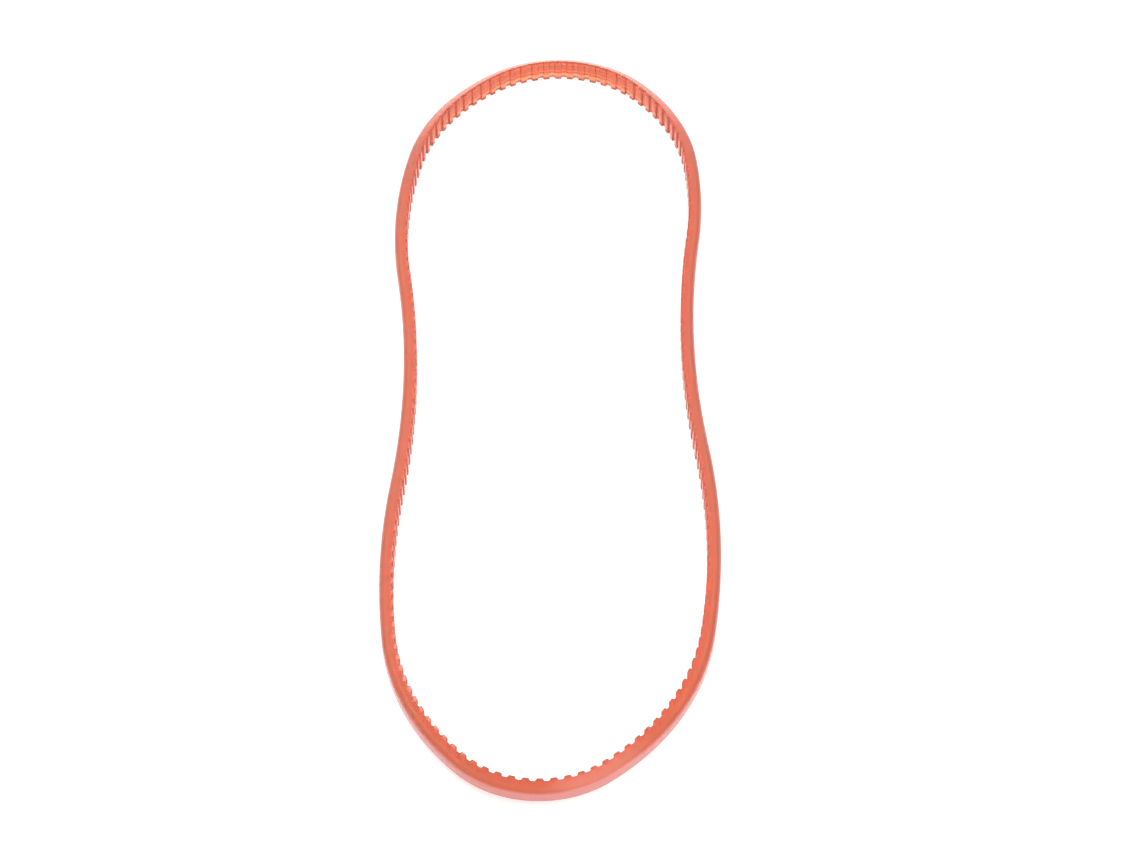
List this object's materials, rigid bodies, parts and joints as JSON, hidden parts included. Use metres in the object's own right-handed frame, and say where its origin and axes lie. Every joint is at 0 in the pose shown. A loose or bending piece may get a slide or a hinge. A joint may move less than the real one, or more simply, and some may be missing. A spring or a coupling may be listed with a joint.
{
  "type": "v belt",
  "caption": "Endless wide-angle polyurethane V belt with a ribbed wide face and embedded tension cords, lying on its side, inside out, as a limp waisted loop.",
  "frame": {"origin": "on the surface the belt lies on, under the middle of the box around its loop", "axes": "+Z across the belt's width, along the pulley axes; +Y along the loop towards the lobe with the rounder end; +X to the right"},
  "size_m": [0.0666, 0.2056, 0.005],
  "materials": {
    "polyurethane_wedge": "cast translucent polyurethane, satin",
    "polyurethane_ribs": "cast translucent polyurethane, satin",
    "tension_cord": "twisted polyester yarn soaked with polyurethane"
  },
  "bodies": {
    "root": {"ribbed_layer": "polyurethane_ribs", "wedge_layer": "polyurethane_wedge", "tension_cord_s_twist": "tension_cord", "tension_cord_z_twist": "tension_cord"}
  },
  "joints": []
}
